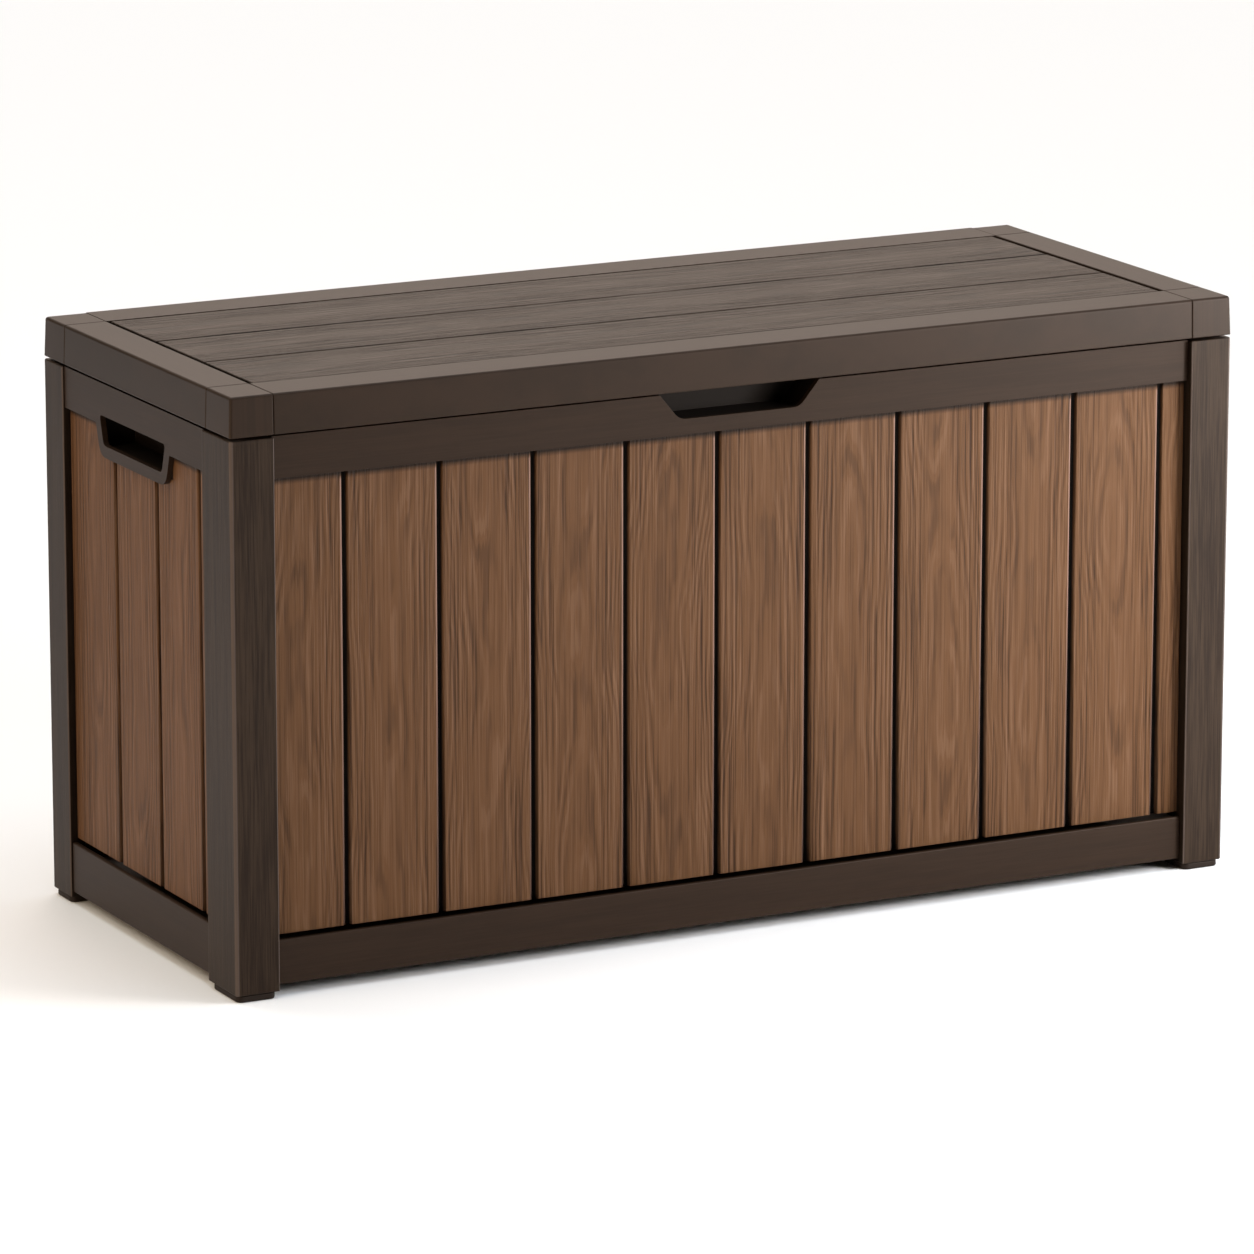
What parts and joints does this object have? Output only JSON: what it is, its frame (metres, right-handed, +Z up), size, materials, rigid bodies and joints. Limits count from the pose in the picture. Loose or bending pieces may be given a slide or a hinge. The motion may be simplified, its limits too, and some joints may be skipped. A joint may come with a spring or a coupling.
{
  "type": "deck storage box",
  "caption": "Resin outdoor storage chest with a hinged framed lid, grooved plank panels, corner posts, side hand holds and a finger notch under the lid.",
  "frame": {"origin": "centre of the footprint at floor level, with the hinge knuckles counted in the footprint", "axes": "+Z up, +X along the length to the right, the front with the finger notch facing -Y"},
  "size_m": [1.2, 0.4946, 0.645],
  "materials": {
    "frame_resin": "dark brown moulded resin with a faint brushed wood grain",
    "lid_board_resin": "dark brown moulded resin with a lengthwise wood grain",
    "plank_resin": "mid brown moulded resin with an upright wood grain",
    "foot_resin": "plain dark brown moulded resin",
    "inner_resin": "plain dark brown moulded resin",
    "hinge_resin": "plain dark brown moulded resin",
    "hinge_steel": "zinc-plated steel"
  },
  "bodies": {
    "box": {"post_front_left": "frame_resin", "post_front_right": "frame_resin", "post_back_left": "frame_resin", "post_back_right": "frame_resin", "foot_front_left": "foot_resin", "foot_front_right": "foot_resin", "foot_back_left": "foot_resin", "foot_back_right": "foot_resin", "panel_front": "plank_resin", "panel_back": "plank_resin", "panel_left": "plank_resin", "panel_right": "plank_resin", "top_rail_front": "frame_resin", "top_rail_back": "frame_resin", "top_rail_left": "frame_resin", "top_rail_right": "frame_resin", "bottom_rail_front": "frame_resin", "bottom_rail_back": "frame_resin", "bottom_rail_left": "frame_resin", "bottom_rail_right": "frame_resin", "finger_cup": "frame_resin", "hand_cup_left": "frame_resin", "hand_cup_right": "frame_resin", "floor_panel": "inner_resin", "hinge_base_left": "hinge_resin", "hinge_base_right": "hinge_resin", "hinge_pin_left": "hinge_steel", "hinge_pin_right": "hinge_steel", "base_screw_left_inner": "hinge_steel", "base_screw_left_outer": "hinge_steel", "base_screw_right_inner": "hinge_steel", "base_screw_right_outer": "hinge_steel"},
    "lid": {"lid_board_front": "lid_board_resin", "lid_board_middle": "lid_board_resin", "lid_board_back": "lid_board_resin", "lid_rail_front": "frame_resin", "lid_rail_back": "frame_resin", "lid_rail_left": "frame_resin", "lid_rail_right": "frame_resin", "lid_corner_front_left": "frame_resin", "lid_corner_front_right": "frame_resin", "lid_corner_back_left": "frame_resin", "lid_corner_back_right": "frame_resin", "lid_liner": "inner_resin", "hinge_leaf_left": "hinge_resin", "hinge_leaf_right": "hinge_resin", "leaf_screw_left_inner": "hinge_steel", "leaf_screw_left_outer": "hinge_steel", "leaf_screw_right_inner": "hinge_steel", "leaf_screw_right_outer": "hinge_steel"}
  },
  "joints": [
    {"name": "lid_hinge", "type": "hinge", "parent": "box", "child": "lid", "pos_m": [0, 0.24075, 0.6005], "axis": [-1, 0, 0], "range_deg": [0, 100]}
  ]
}
